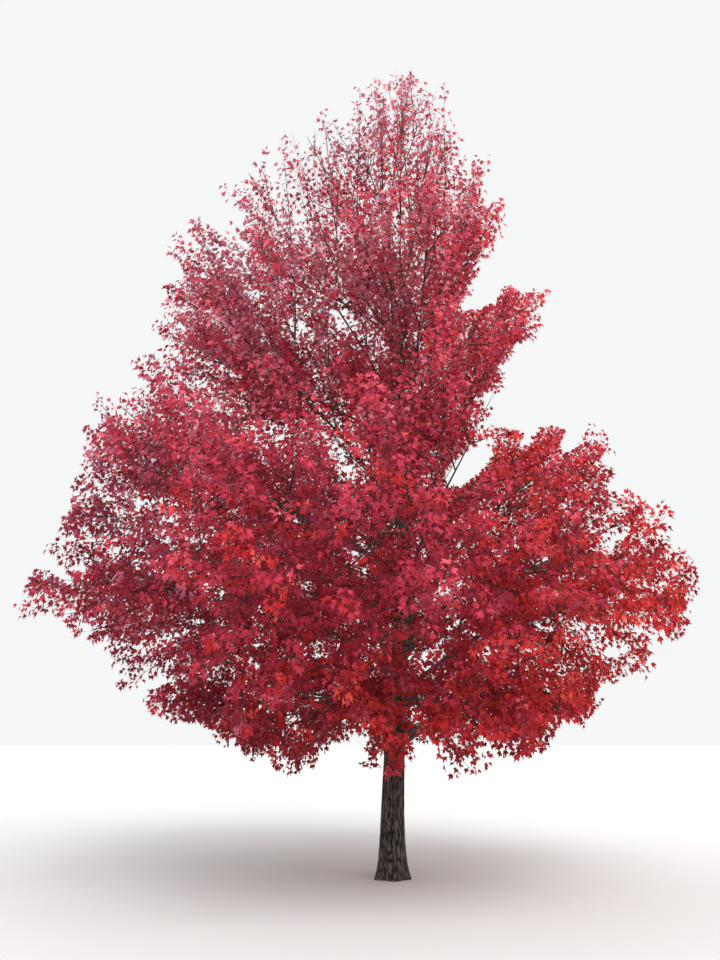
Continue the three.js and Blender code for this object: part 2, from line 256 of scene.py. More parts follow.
# The solids' own numbers for all limbs.
limbs = {
    "seed": 41,
    "bend": 0.36,  # length of a line's handles, as a share of its span
    "strayTurn": 5,  # how far a limb strays from its even place in the ring, in degrees
    "strayReach": 0.06,
    "strayHeight": 0.15,
    "leaderTip": (0.38, 0.0, 11.60),
}


# A repeatable stream of numbers from 0 to 1, the same one that placed the solids.
def rollFrom(seed):
    state, stride, word = seed, 0x6D2B79F5, 2 ** 32
    while True:
        state = (state + stride) % word
        mixed = ((state ^ (state >> 15)) * (1 | state)) % word
        mixed = ((mixed + (mixed ^ (mixed >> 7)) * (61 | mixed)) ^ mixed) % word
        yield (mixed ^ (mixed >> 14)) / word


rolls = rollFrom(limbs["seed"])


# A chance number from -reach to reach.
def jitter(reach):
    return (next(rolls) * 2 - 1) * reach


# The direction with a bearing round the trunk and a rise above level, both in radians.
def heading(bearing, rise):
    return np.array([math.cos(bearing) * math.cos(rise), math.sin(bearing) * math.cos(rise),
                     math.sin(rise)])


# The four corners of a limb's curve, which leaves the trunk at one slope and ends at another.
def limbCorners(start, tip, rise, tipRise):
    bearing = math.atan2(tip[1] - start[1], tip[0] - start[0])
    handle = limbs["bend"] * np.linalg.norm(tip - start)
    return np.array([start, start + heading(bearing, math.radians(rise)) * handle,
                     tip - heading(bearing, math.radians(tipRise)) * handle, tip])


# Points of cubic curves: the corners weighted by (1-t)^3, 3t(1-t)^2, 3t^2(1-t) and t^3.
def curvePoints(corners, shares):
    t = np.asarray(shares, float)[..., None]
    a, b, c, d = (corners[..., None, index, :] for index in range(4))
    return a * (1 - t) ** 3 + b * 3 * t * (1 - t) ** 2 + c * 3 * t * t * (1 - t) + d * t ** 3


# A tier's limbs stand evenly round the trunk, apart from a little chance. Their roots climb it in
# strides, and their tips lie on a circle that drifts sideways and dips at the front.
def tierCorners(tier):
    if tier["name"] == "leader":
        start = trunkCentre(trunk["fork"])
        return [limbCorners(start, np.array(limbs["leaderTip"]), tier["rise"], tier["tipRise"])]
    found = []
    for index in range(tier["count"]):
        rung = (index * tier["stride"]) % tier["count"]
        start = trunkCentre(between(*tier["base"], rung / max(tier["count"] - 1, 1)))
        bearing = math.radians(tier["turn"] + 360 / tier["count"] * index
                               + jitter(limbs["strayTurn"]))
        reach = tier["reach"] * (1 + jitter(limbs["strayReach"]))
        lower = tier["dip"] * max(-math.sin(bearing), 0)
        tip = np.array([tier["drift"] + reach * math.cos(bearing), reach * math.sin(bearing),
                        tier["tipHeight"] - lower + jitter(limbs["strayHeight"])])
        found.append(limbCorners(start, tip, tier["rise"], tier["tipRise"]))
    return found


for tier in tiers:
    tier["corners"] = np.array(tierCorners(tier))
    names = [tier["name"]] if tier["name"] == "leader" else [
        f'{tier["name"]}_{index + 1}' for index in range(tier["count"])]
    tier["masses"] = ["foliage_" + name for name in names]
    tier["boughs"] = ["bough_" + name for name in names] if tier["bare"] else []
print("limbs laid out,", sum(len(tier["corners"]) for tier in tiers))


space = {
    "beads": 7,
    "ends": 0.62,
    "from": {"leader": 0.08, "trunk": 0.22},  # where the beads start on a limb without a bough
    "inner": [0.40, 0.70],  # shares of the bough where two small beads sit, nearer the trunk
    "innerGirth": 0.80,
    "hemHeight": 1.17,
    "hemReach": 1.90,
    "hemSlope": 0.40,
}


# The beads that share the crown's space out: middles, girths, flatness, fill and the number of
# their mass. Girths swell from ends to one as a half sine, and the inner beads come last.
def layBeads():
    share = (np.arange(space["beads"]) + 0.5) / space["beads"]
    swell = np.append(between(space["ends"], 1, np.sin(math.pi * share)),
                      np.full(len(space["inner"]), space["innerGirth"]))
    rows = []
    for tier in tiers:
        bareTo = tier["bare"] or space["from"].get(tier["name"], space["from"]["trunk"])
        shares = np.append(between(bareTo, 1, share), np.array(space["inner"]) * bareTo)
        for corners in tier["corners"]:
            rows.append([curvePoints(corners, shares), tier["girth"] * swell,
                         np.full(len(shares), tier["flat"]), np.full(len(shares), tier["fill"]),
                         np.full(len(shares), len(rows))])
    return [np.concatenate(part) for part in zip(*rows)]


beadMiddle, beadGirth, beadFlat, beadFill, beadOwner = layBeads()


# Which mass a point belongs to: that of the nearest bead, at most about a girth away and above a
# hem that rises outwards, or -1. An allowance lets single sprays stand out.
def ownerAt(points, allowance=0.0):
    flatPoints = points.reshape(-1, 3).astype(np.float32)
    away = flatPoints[:, None, :] - beadMiddle[None].astype(np.float32)
    away[..., 2] *= beadFlat.astype(np.float32)
    far = np.sqrt(np.sum(away * away, axis=2)) / beadGirth
    nearest = far.argmin(axis=1)
    outside = np.maximum(np.hypot(flatPoints[:, 0], flatPoints[:, 1]) - space["hemReach"], 0)
    aboveHem = flatPoints[:, 2] >= space["hemHeight"] + space["hemSlope"] * outside
    limit = beadFill[nearest] + np.broadcast_to(allowance, points.shape[:-1]).ravel()
    inside = (far[np.arange(len(far)), nearest] < limit) & aboveHem
    return np.where(inside, beadOwner[nearest], -1).reshape(points.shape[:-1])


# The crown's outline from the front: heights, and its reach beside the trunk's foot there. The
# notch on the right parts the upper crown from the low lobe.
outline = {
    "left": [(1.0, 1.2), (1.36, 1.8), (1.7, 2.4), (2.0, 2.95), (2.4, 3.6), (2.9, 3.95),
             (3.1, 4.4), (3.4, 4.9), (3.8, 4.75), (4.2, 4.5), (4.6, 4.35), (5.7, 4.05),
             (6.4, 3.75), (6.6, 3.65), (6.9, 3.3), (7.1, 3.2), (7.6, 3.4), (7.9, 3.65),
             (8.1, 3.2), (8.3, 2.9), (8.7, 3.05), (9.0, 3.15), (9.3, 2.75), (9.5, 2.65),
             (10.0, 2.85), (10.15, 1.8), (10.6, 1.7), (10.9, 1.6), (11.05, 1.1), (11.4, 0.9),
             (11.55, 0.5), (11.8, 0.3), (12.1, 0.0)],
    "right": [(1.0, 1.2), (1.54, 1.85), (2.09, 2.75), (2.34, 3.25), (3.0, 3.9), (3.6, 4.1),
              (4.1, 3.95), (4.4, 3.45), (4.9, 3.4), (5.2, 2.95), (5.55, 2.95), (5.8, 3.0),
              (5.87, 0.95), (6.25, 1.2), (6.8, 1.65), (7.4, 2.0), (7.75, 2.35), (7.95, 2.45),
              (8.05, 1.15), (8.3, 1.3), (8.6, 1.5), (8.95, 1.8), (9.4, 1.95), (9.6, 1.3),
              (10.2, 1.25), (10.6, 1.45), (10.9, 1.4), (11.1, 0.9), (11.4, 0.8), (11.8, 0.65),
              (12.1, 0.5)],
    "wander": [(1.4, 0.12), (5.0, 0.12)],  # how many times in a metre the edge wanders, how far
    "seed": 21,
}

# Openings: place beside the trunk's foot, height, half width, half height, and lean to the right
# in degrees.
openings = [
    (1.15, 5.25, 0.42, 0.17, 42), (1.38, 7.80, 0.34, 0.10, 20), (-1.24, 10.75, 0.28, 0.10, 80),
    (-0.60, 11.30, 0.22, 0.09, 80), (1.98, 5.66, 0.20, 0.06, 65), (2.60, 5.66, 0.26, 0.09, 62),
    (3.22, 5.02, 0.22, 0.08, 40),
]


# Where the line of sight from the photograph's place through a point meets the plane of the trunk.
def seenAt(points):
    eye = np.array(view["place"])
    away = points - eye
    return eye + away * (-eye[1] / away[..., 1:2])


# Whether points lie inside the outline, which wanders by noise, and outside every opening, an
# ellipse: x^2 + z^2 > 1 in its own half widths.
def insideOutline(points, allowance=0.0):
    seen = seenAt(points)
    wander = sum(far * smoothNoise(seen * often, outline["seed"])
                 for often, far in outline["wander"])
    height = seen[..., 2] + wander
    left, right = (np.interp(height, *zip(*outline[side])) + wander for side in ("left", "right"))
    inside = (seen[..., 0] > -left - allowance) & (seen[..., 0] < right + allowance)
    for across, high, halfWidth, halfHeight, lean in openings:
        lean = math.radians(lean)
        x, z = seen[..., 0] - across, seen[..., 2] - high
        length = (x * math.cos(lean) + z * math.sin(lean)) / halfWidth
        width = (z * math.cos(lean) - x * math.sin(lean)) / halfHeight
        inside &= length ** 2 + width ** 2 > 1
    return inside


boxBeyond = 0.10  # how far shoots and leaves may stand out of the solids' own box


# Whether points lie inside the solids' box, let out on every side.
def insideBox(points):
    low, high = np.array(cadBox)
    return np.all((points > low - boxBeyond) & (points < high + boxBeyond), axis=-1)


# The crown's own round shape: heights, how far its middle stands beside the trunk's foot there,
# and its reach. It joins the limbs' tips from tier to tier, so that no tier stands out alone.
crown = {
    "shape": [(1.2, 0.0, 1.9), (1.85, -0.10, 3.2), (2.6, -0.2, 4.1), (3.4, -0.33, 4.45),
              (5.25, -0.42, 3.75), (7.45, -0.62, 2.95), (9.35, -0.45, 2.15), (10.5, -0.20, 1.35),
              (11.6, 0.30, 0.60), (12.1, 0.35, 0.15)],
    "wander": (1.1, 0.22),  # how many times in a metre its edge wanders, and how far
    "seed": 22,
    "hollow": 0.36,  # the share of its reach inside which leaves are fewer
    "hollowLeaves": 0.85,
    "thinning": [(8.8, 10.6), (1, 0.55)],  # two heights, and the share of leaves kept at each
}


# How far points lie from the crown's middle at their height, and its reach there.
def outwards(points):
    height, middle, reach = zip(*crown["shape"])
    across = points[..., 0] - np.interp(points[..., 2], height, middle)
    return np.hypot(across, points[..., 1]), np.interp(points[..., 2], height, reach)


# Whether points lie nearer to the middle than the crown's reach, which wanders by noise.
def insideCrown(points, allowance=0.0):
    far, reach = outwards(points)
    often, most = crown["wander"]
    return far < reach + allowance + most * smoothNoise(points * often, crown["seed"])


# Lengths are in metres, forkReach in girths. Two numbers are limits of chance, or the values at
# the root and at the tip.
growth = {
    "seed": 7,
    "limbSteps": 56,
    "forkSteps": 12,
    "branchSteps": 5,
    "twigSteps": 2,
    "pairPlace": (0.2, 0.8),  # where in its gap a pair of shoots stands
    "pairTurn": 0.6,  # how far it may turn from its right angle, in radians
    "pairSpread": (0.65, 1.3),  # by how much a shoot's spread varies
    "sizes": (1, 0.25, 11),  # a shoot is tried whole, then shorter in even steps to a quarter
    "tested": (0.2, 0.35, 0.5, 0.65, 0.8, 0.9),  # shares of it that have to be inside the outline
    "wave": (0.05, 1.5),  # how far a shoot waves across, and how many half waves
    "onward": 9,  # steps in which a limb goes on past the solids' stem
    "forksFrom": (0.15, 0.70),  # between which shares of a limb it forks
    "forkSpread": 46,
    "forkReach": (1.35, 0.80),
    "forkVaries": (0.8, 1.15),
    "forkDraw": 0.60,
    "forkStray": 0.12,
    "branchFrom": 0.15,  # share of a limb or fork where its branches start, and where they end
    "branchTo": 0.96,
    "branchStart": (0.60, 2.2),  # a branch's share of its length there, and how fast it rises
    "branchVaries": (0.70, 1.20),
    "branchStray": 0.10,
    "hanging": 0.7,  # how much less shoots on the underside bend away
    "sprays": (-0.06, 0.13, 0.42),  # how far branches pass the outline: least, mean more, most
    "riserRange": 2.6,  # over how much of the trunk, from a tier's lowest limb up, its risers stand
    "riserBelow": 0.3,  # how far below the fork the highest one stands
    "riserSlope": (34, 74),
    "riserLength": (0.7, 2.2),
    "riserDraw": 0.25,
    "endTwigs": 0.70,  # share of a limb or fork past which it carries twigs itself
    "twigPlace": (0.16, 0.98),
    "twigLength": 0.27,
    "twigReach": (1.2, 0.6),
    "twigVaries": (0.65, 1.2),
    "twigSpread": 0.78,  # how far twigs open, as a share of the branches' spread
    "twigDraw": 0.60,  # and how far they bend away from the trunk
    "twigStray": 0.12,
    "drawFrom": (0.0, 0.0, 2.2),  # the point low in the trunk that shoots are drawn away from
}
dealer = np.random.default_rng(growth["seed"])


# The way out from a point low in the trunk: level beside it and steeper the higher.
def awayFromTrunk(points):
    return unit(points - np.array(growth["drawFrom"]))


# How far it is along each path.
def lengthsOf(paths):
    return np.linalg.norm(np.diff(paths, axis=1), axis=2).sum(axis=1)


# The same paths with their points evenly spaced.
def evened(paths, steps):
    found = np.empty((len(paths), steps, 3))
    for index, path in enumerate(paths):
        far = np.concatenate([[0], np.linalg.norm(np.diff(path, axis=0), axis=1).cumsum()])
        spots = np.linspace(0, far[-1], steps)
        found[index] = np.stack([np.interp(spots, far, path[:, axis]) for axis in range(3)], axis=1)
    return found


# Points and directions along paths of evenly spaced points, at shares of their length.
def along(paths, rows, shares):
    steps = paths.shape[1] - 1
    spot = np.clip(shares, 0, 1) * steps
    before = np.minimum(spot.astype(int), steps - 1)
    start, end = paths[rows, before], paths[rows, before + 1]
    return start + (end - start) * (spot - before)[..., None], unit(end - start)


# Opposite pairs of shoots, a gap apart between two shares of every path. Each pair is turned from
# the last, as a rule by a right angle, and opens from the path by the spread. Without a turn all
# stand level, to the left and to the right.
def pairsOn(paths, first, last, gap, spread, quarter=math.pi / 2):
    pairs = np.maximum(np.rint(lengthsOf(paths) * (last - first) / gap), 1).astype(int)
    rows = np.repeat(np.arange(len(paths)), pairs)
    place = np.arange(len(rows)) - np.repeat(np.cumsum(pairs) - pairs, pairs)
    shares = (place + dealer.uniform(*growth["pairPlace"], len(rows))) / pairs[rows]
    shares = between(first, last, shares)
    roots, onward = along(paths, rows, shares)
    level = unit(np.cross(onward, up) + nudge)
    stray = dealer.uniform(-growth["pairTurn"], growth["pairTurn"], len(rows))
    plane = turned(level, onward, place * quarter + stray)
    side = np.repeat([-1.0, 1.0], len(rows))[:, None]
    rows, shares = np.tile(rows, 2), np.tile(shares, 2)
    roots, onward, plane = (np.tile(part, (2, 1)) for part in (roots, onward, plane))
    angle = np.radians(spread) * dealer.uniform(*growth["pairSpread"], len(rows))[:, None]
    ways = unit(onward * np.cos(angle) + side * plane * np.sin(angle))
    return {"root": roots, "way": ways, "row": rows, "share": shares,
            "below": np.clip(-side[:, 0] * plane[:, 2], 0, 1)}


# One more shoot that goes on from the end of every path.
def withEnds(shoots, paths):
    rows = np.arange(len(paths))
    roots, ways = along(paths, rows, np.ones(len(paths)))
    ends = {"root": roots, "way": ways, "row": rows,
            "share": np.ones(len(paths)), "below": np.zeros(len(paths))}
    return {key: np.concatenate([shoots[key], ends[key]]) for key in shoots}


# Paths at root + length (u way + u^2 pull), with a slight wave across. A shoot is shortened until
# it ends in the space of its own mass, or of any mass where no owners are given, and is dropped
# where that takes too much.
def grown(shoots, lengths, pulls, steps, owners, allowance=0.0):
    best = np.zeros(len(lengths))
    for size in np.linspace(*growth["sizes"]):
        reach = (lengths * size)[:, None]
        ends = shoots["root"] + reach * (shoots["way"] + pulls)
        found = ownerAt(ends, allowance)
        fits = found >= 0 if owners is None else found == owners
        fits &= insideOutline(ends, allowance) & insideCrown(ends, allowance) & insideBox(ends)
        for u in growth["tested"]:
            middle = shoots["root"] + reach * u * (shoots["way"] + u * pulls)
            fits &= insideOutline(middle, allowance)
        best = np.where(fits & (best == 0), size, best)
    kept = best > 0
    root, way, pull = shoots["root"][kept], shoots["way"][kept], pulls[kept]
    u = np.linspace(0, 1, steps)[None, :, None]
    across = unit(np.cross(way, up) + nudge)
    most, halfWaves = growth["wave"]
    wave = dealer.uniform(-most, most, (len(root), 1, 1)) * np.sin(math.pi * halfWaves * u)
    offset = way[:, None] * u + pull[:, None] * u * u + across[:, None] * wave
    return root[:, None] + (lengths * best)[kept, None, None] * offset, kept


# Pulls away from the trunk at some points, each by its draw, and by chance.
def pullsAt(points, draws, stray):
    return draws * awayFromTrunk(points) + dealer.uniform(-stray, stray, (len(points), 3))


# Halfway along straight shoots.
def halfwayOn(shoots, lengths):
    return shoots["root"] + 0.5 * lengths[:, None] * shoots["way"]


# Slender shoots straight from the trunk, steep between the limbs. Each belongs to the mass it ends
# in, and is left out where that is another tier's.
def growRisers(tier, owners):
    count = tier["onTrunk"]
    height = tier["base"][0] + dealer.uniform(0, 1, count) * growth["riserRange"]
    bearing = dealer.uniform(0, 2 * math.pi, count)
    slope = np.radians(dealer.uniform(*growth["riserSlope"], count))
    roots = trunkCentre(np.minimum(height, trunk["fork"] - growth["riserBelow"]))
    ways = np.stack([np.cos(bearing) * np.cos(slope), np.sin(bearing) * np.cos(slope),
                     np.sin(slope)], axis=1)
    lengths = dealer.uniform(*growth["riserLength"], count)
    pulls = growth["riserDraw"] * awayFromTrunk(roots + lengths[:, None] * ways)
    found = ownerAt(roots + lengths[:, None] * (ways + pulls))
    mine = np.isin(found, owners)
    shoots = {"root": roots[mine], "way": ways[mine]}
    risers, kept = grown(shoots, lengths[mine], pulls[mine], growth["branchSteps"], found[mine])
    return risers, found[mine][kept]


# Each limb goes on past the solids' stem, bending away from the trunk, as far as its own space
# reaches.
def growStems(tier, owners):
    stems = curvePoints(tier["corners"], np.linspace(0, 1, growth["limbSteps"]))
    tips, onward = stems[:, -1], unit(stems[:, -1] - stems[:, -2])
    steps = np.linspace(0, 1, growth["onward"] + 1)[None, 1:, None]
    steps = steps * tier["girth"] * tier["beyond"]
    ways = unit(onward[:, None] + steps * tier["draw"] * awayFromTrunk(tips)[:, None])
    beyond = tips[:, None] + steps * ways
    fits = (ownerAt(beyond) == owners[:, None]) & insideOutline(beyond) & insideCrown(beyond)
    reached = np.logical_and.accumulate(fits, axis=1) * (np.arange(growth["onward"]) + 1)
    reached = np.maximum.accumulate(reached, axis=1)
    beyond = np.concatenate([tips[:, None], beyond], axis=1)[np.arange(len(tips))[:, None], reached]
    return evened(np.concatenate([stems, beyond], axis=1), growth["limbSteps"])


# One tier's growth: forks from the limbs, branches from limbs, forks and the trunk, and twigs from
# branches and the limbs' ends. Each twig is given its mass and how far it may pass the outline.
def growTier(tier, firstOwner):
    owners = firstOwner + np.arange(len(tier["corners"]))
    stems = growStems(tier, owners)

    # Forks open to both sides of the limb and share its mass out.
    first, last = growth["forksFrom"]
    shoots = pairsOn(stems, first, last, tier["forkGap"], growth["forkSpread"], 0.0)
    part = (shoots["share"] - first) / (last - first)
    lengths = tier["girth"] * between(*growth["forkReach"], part)
    lengths = lengths * dealer.uniform(*growth["forkVaries"], len(part))
    pulls = pullsAt(halfwayOn(shoots, lengths), growth["forkDraw"] * tier["draw"],
                    growth["forkStray"])
    forks, kept = grown(shoots, lengths, pulls, growth["forkSteps"], owners[shoots["row"]])
    bearers = np.concatenate([evened(stems, growth["forkSteps"]), forks])
    bearerOwners = np.concatenate([owners, owners[shoots["row"]][kept]])

    # Branches are shorter near the trunk and towards the end, and some pass the outline.
    first, (least, rise) = growth["branchFrom"], growth["branchStart"]
    shoots = pairsOn(bearers, first, growth["branchTo"], tier["branchGap"], tier["spread"])
    part = (shoots["share"] - first) / (1 - first)
    lengths = tier["girth"] * between(tier["reachOut"], tier["tipOut"], part)
    lengths = lengths * np.clip(least + rise * part, 0, 1) * (1 - tier["lower"] * shoots["below"])
    lengths = lengths * dealer.uniform(*growth["branchVaries"], len(part))
    draws = tier["draw"] * (1 - growth["hanging"] * shoots["below"])
    pulls = pullsAt(halfwayOn(shoots, lengths), draws[:, None], growth["branchStray"])
    least, mean, most = growth["sprays"]
    allowance = np.minimum(least + dealer.exponential(mean, len(part)), most)
    branches, kept = grown(shoots, lengths, pulls, growth["branchSteps"],
                           bearerOwners[shoots["row"]], allowance)
    branchOwners = bearerOwners[shoots["row"]][kept]
    allowance = allowance[kept]
    if tier["onTrunk"]:
        risers, riserOwners = growRisers(tier, owners)
        branches = np.concatenate([branches, risers])
        branchOwners = np.concatenate([branchOwners, riserOwners])
        allowance = np.concatenate([allowance, np.zeros(len(risers))])

    # The ends of limbs and forks carry twigs as a branch does.
    rows = np.arange(len(bearers))[:, None]
    outer = np.tile(np.linspace(growth["endTwigs"], 1, growth["branchSteps"]), (len(bearers), 1))
    carriers = np.concatenate([branches, along(bearers, rows, outer)[0]])
    carrierOwners = np.concatenate([branchOwners, bearerOwners])
    allowance = np.concatenate([allowance, np.zeros(len(bearers))])
    spread = growth["twigSpread"] * tier["spread"]
    shoots = pairsOn(carriers, *growth["twigPlace"], tier["twigGap"], spread)
    shoots = withEnds(shoots, carriers)
    lengths = growth["twigLength"] * between(*growth["twigReach"], shoots["share"])
    lengths = lengths * dealer.uniform(*growth["twigVaries"], len(lengths))
    pulls = pullsAt(shoots["root"], growth["twigDraw"] * tier["draw"], growth["twigStray"])
    allowance = allowance[shoots["row"]]
    twigs, kept = grown(shoots, lengths, pulls, growth["twigSteps"], None, allowance)
    return stems, forks, branches, twigs, carrierOwners[shoots["row"]][kept], allowance[kept]


firstOwner = 0
for tier in tiers:
    found = growTier(tier, firstOwner)
    tier["stems"], tier["forks"], tier["branches"], tier["twigs"] = found[:4]
    tier["twigOwner"], tier["twigAllowance"] = found[4:]
    firstOwner += len(tier["corners"])
    print(f'{tier["name"]}: {len(tier["forks"])} forks, {len(tier["branches"])} branches,',
          f'{len(tier["twigs"])} twigs')


# Two numbers are limits of chance.
leaf = {
    "seed": 19,
    # half of the outline from the petiole, across and along, in blade lengths
    "outline": [(0.24, 0.05), (0.43, 0.55), (0.14, 0.50), (0.0, 1.03)],
    "fold": 0.36,  # how far the blade's halves fold up from the midrib
    "droop": 0.18,  # how far its tip hangs
    "place": (0.15, 0.98),  # between which shares of a twig leaves stand
    "spread": 56,
    "sizes": (0.70, 1.20),
    "lift": 0.25,  # how far petioles rise, and how far they stray
    "stray": 0.3,
    "petiole": 0.50,  # in blade lengths
    "petioles": (0.7, 1.3),
    "petioleWidth": 0.0022,
    "hang": 0.80,
    "hangs": (0.4, 1.8),
    "turn": 0.35,
    "up": 0.65,
    "out": 0.50,
    "tumble": 0.85,
    "beyondOutline": 0.08,
    "mapFoot": (0.5, 0.0),  # where the blade's foot lies on its map, and the petiole's two corners
    "mapPetiole": [(0.49, -0.3), (0.51, -0.3)],
    "roughness": 0.52,
    "specular": 0.22,
    "veins": 9.0,  # how many would stand in a full circle round the foot
    "veinEdge": 0.96,
    "relief": {"Strength": 0.35, "Distance": 0.002},
}
leafDealer = np.random.default_rng(leaf["seed"])


# The blade's corners: the half outline, its mirror image, and the foot where both meet. Their
# height is fold |x| - droop y^2.
def leafOutline(half):
    half = np.array(half)
    mirrored = half[-2::-1] * (-1, 1)
    flat = np.concatenate([[(0.0, 0.0)], half, mirrored])
    height = leaf["fold"] * np.abs(flat[:, 0]) - leaf["droop"] * flat[:, 1] ** 2
    fan = [(0, step, step + 1) for step in range(1, len(flat) - 1)]
    return flat, height, np.array(fan)


# Chance vectors, from -1 to 1 along each axis.
def tumbled(count):
    return leafDealer.uniform(-1, 1, (count, 3))


# Leaves sit in opposite pairs along each twig, with one at its end. The blade hangs from a
# petiole: along = petiole way + hang, facing = up + out + chance. Leaves past the outline, the
# crown or the box are left out, and some near the middle and in the top.
def leavesOn(tier):
    shoots = pairsOn(tier["twigs"], *leaf["place"], tier["leafGap"], leaf["spread"])
    shoots = withEnds(shoots, tier["twigs"])
    roots, ways, parent = shoots["root"], shoots["way"], shoots["row"]
    count = len(roots)
    size = tier["blade"] * leafDealer.uniform(*leaf["sizes"], count)[:, None]
    petioleWay = unit(ways + leaf["lift"] * up + leaf["stray"] * tumbled(count))
    foot = (roots + petioleWay * size * leaf["petiole"]
            * leafDealer.uniform(*leaf["petioles"], (count, 1)))
    drop = leaf["hang"] * leafDealer.uniform(*leaf["hangs"], (count, 1))
    lengthways = unit(petioleWay - up * drop + leaf["turn"] * tumbled(count))
    outward = unit(foot * (1, 1, 0))
    facing = leaf["up"] * up + leaf["out"] * outward + leaf["tumble"] * tumbled(count)
    across = unit(np.cross(lengthways, facing))
    normal = np.cross(across, lengthways)
    tips = foot + lengthways * size
    allowance = tier["twigAllowance"][parent]
    far, reach = outwards(tips)
    share = np.where(far > crown["hollow"] * reach, 1, crown["hollowLeaves"])
    share = share * np.interp(tips[:, 2], *crown["thinning"])
    shown = leafDealer.uniform(0, 1, count) < share
    inside = ((ownerAt(tips, allowance) >= 0) & insideBox(tips)
              & insideOutline(tips, allowance + leaf["beyondOutline"])
              & insideCrown(tips, allowance + leaf["beyondOutline"]) & shown)
    return [part[inside] for part in (roots, foot, lengthways, across, normal, size, parent)]


# Every leaf has the blade's corners at foot + size (x across + y lengthways + height normal), and
# two on the twig, which make its petiole a narrow triangle.
def leafMesh(name, leaves, tints):
    flat, height, fan = leafOutline(leaf["outline"])
    roots, foot, lengthways, across, normal, size = leaves
    count = len(roots)
    corners = (foot[:, None]
               + size[:, None] * (across[:, None] * flat[None, :, :1]
                                  + lengthways[:, None] * flat[None, :, 1:]
                                  + normal[:, None] * height[None, :, None]))
    half = across * leaf["petioleWidth"] / 2
    petiole = np.stack([roots - half, roots + half], axis=1)
    places = np.concatenate([corners, petiole], axis=1)
    each = places.shape[1]
    faces = np.concatenate([fan, [(each - 2, each - 1, 0)]])
    triangles = (faces[None] + (np.arange(count) * each)[:, None, None]).reshape(-1, 3)
    flatPlaces = np.concatenate([flat + leaf["mapFoot"], leaf["mapPetiole"]])
    print(name, count, "leaves", len(triangles), "faces")
    return meshPiece(name, places.reshape(-1, 3), triangles, leafMaterials, smooth=False,
                     slots=np.repeat(tints, len(faces)),
                     flatPlaces=np.tile(flatPlaces, (count, 1)))


# Three families of red from cool to warm, and in each from dusky to bright. The cool family's
# pale pink is partly the leaves' own tint and partly painted reflection of the white sky.
tints = {
    # partly painted reflection: the brighter cool steps are paled towards the sky's white
    "cool": [(0.320, 0.050, 0.098), (0.565, 0.125, 0.190), (0.780, 0.255, 0.325)],
    "plain": [(0.300, 0.020, 0.044), (0.550, 0.038, 0.075), (0.750, 0.100, 0.142)],
    "warm": [(0.330, 0.013, 0.016), (0.580, 0.028, 0.032), (0.780, 0.085, 0.070)],
}


# One colour, with raised veins that fan out from the foot, where the cosine of veins times the
# direction comes close to one.
def leafMaterial(name, colour):
    material, tree, shader = newMaterial("leaf " + name, {
        "Base Color": (*colour, 1), "Roughness": leaf["roughness"],
        "Specular IOR Level": leaf["specular"]})
    blade = addNode(tree, "UVMap")
    blade.uv_map = "blade"
    fromFoot = addNode(tree, "VectorMath", {1: (*leaf["mapFoot"], 0.0)}, "SUBTRACT")
    apart = addNode(tree, "SeparateXYZ")
    way = addNode(tree, "Math", None, "ARCTAN2")
    wave = addNode(tree, "Math", {1: leaf["veins"]}, "MULTIPLY")
    crest = addNode(tree, "Math", None, "COSINE")
    vein = addNode(tree, "Math", {1: leaf["veinEdge"]}, "GREATER_THAN")
    relief = addNode(tree, "Bump", leaf["relief"])
    linkAll(tree, (blade, "UV", fromFoot, 0), (fromFoot, "Vector", apart, "Vector"),
            (apart, "X", way, 0), (apart, "Y", way, 1), (way, "Value", wave, 0),
            (wave, "Value", crest, 0), (crest, "Value", vein, 0),
            (vein, "Value", relief, "Height"), (relief, "Normal", shader, "Normal"))
    return material


leafMaterials = [leafMaterial(f"{family} {step + 1}", colour)
                 for family, colours in tints.items() for step, colour in enumerate(colours)]

# Warmer low down and to the right, cooler high up and to the left; the paler cool tints high up
# are partly painted reflection of the sky. Bright and dusky sprays are mixed, brighter on the
# whole up to a height and towards the right: painted light, a glow of sky through the upper
# leaves and painted shade on the left side. Patches are times in a metre, amount and seed.
tinting = {
    "warmth": {"level": 0.52, "right": 0.18, "higher": -0.38, "upTo": 99.0,
               "patches": [(0.7, 0.18, 3)], "chance": 0.10},
    # painted light: higher lifts sprays to brighter steps high up, and right leaves the left darker
    "light": {"level": 0.52, "right": 0.10, "higher": 0.34, "upTo": 7.6,
              "patches": [(2.4, 0.12, 4), (0.9, 0.16, 5)], "chance": 0.15},
    "halfWidth": 4,
    "middle": 5,  # the height that counts as nought, and from there the height to one
    "halfHeight": 6,
}


# A score for each place: level + right x / halfWidth + higher (z - middle) / halfHeight, patches
# of smooth noise and some chance.
def scoreOf(places, rule):
    height = np.minimum(places[:, 2], rule["upTo"]) - tinting["middle"]
    score = (rule["level"] + rule["right"] * places[:, 0] / tinting["halfWidth"]
             + rule["higher"] * height / tinting["halfHeight"])
    for often, amount, seed in rule["patches"]:
        score = score + amount * smoothNoise(places * often, seed)
    return score + leafDealer.normal(0, rule["chance"], len(places))


# A spray's tint: its warmth gives the family and its light the step, a third of the score each.
def tintOf(tier):
    middle = tier["twigs"].mean(axis=1)
    family, step = (np.clip((scoreOf(middle, tinting[kind]) * 3).astype(int), 0, 2)
                    for kind in ("warmth", "light"))
    return family * 3 + step


bark = {
    "seed": 11,
    "plates": (42, 95),  # how many ridges in a metre, broad and fine
    "length": 0.16,  # how much slower they change lengthways
    "width": 0.30,  # the share of the ridges' height that the furrows take
    "sharpness": 1.3,
    # painted shade: the furrows' colour is lowered by this much towards the dark end
    "furrowShade": 0.36,  # how much darker a furrow is than the ridge beside it
    "roughness": 0.88,
    "specular": 0.25,
    "grain": {"Scale": 46, "Detail": 6, "Roughness": 0.65},
    "grainStretch": (1, 1, 0.22),
    "contrast": (0.36, 0.64),  # where in the grain the dark colour ends and the pale one begins
    "relief": {"Strength": 0.6, "Distance": 0.004},
}


